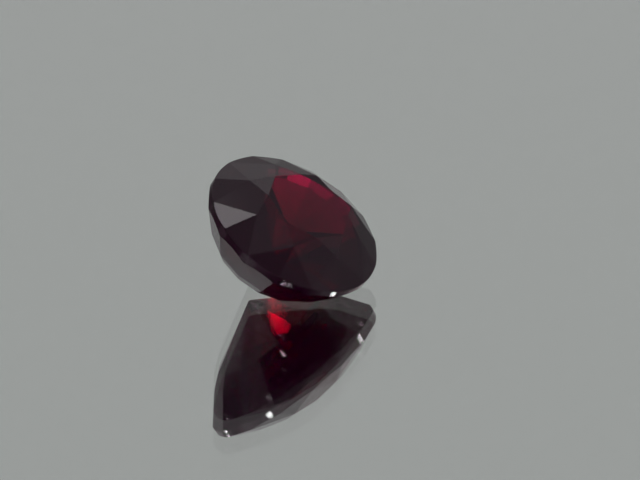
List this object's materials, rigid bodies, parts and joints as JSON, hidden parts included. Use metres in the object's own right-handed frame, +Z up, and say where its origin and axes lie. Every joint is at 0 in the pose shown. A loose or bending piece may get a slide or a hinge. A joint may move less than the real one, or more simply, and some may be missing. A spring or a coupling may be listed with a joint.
{
  "type": "cut spinel gemstone",
  "caption": "Loose oval cut gemstone with a faceted crown, a polished girdle and a stepped faceted base that ends in a point.",
  "frame": {"origin": "middle of the stone's box at floor level, with the stone lying on one facet of its lowest row", "axes": "+Z up; +Y away from the side that the picture shows; +X to that side's right, the way that the table leans"},
  "size_m": [0.0064, 0.0086, 0.0048],
  "materials": {
    "spinel_stone": "polished transparent crystal, deep purplish red, refractive index 1.718"
  },
  "bodies": {
    "root": {"spinel_stone": "spinel_stone"}
  },
  "joints": []
}
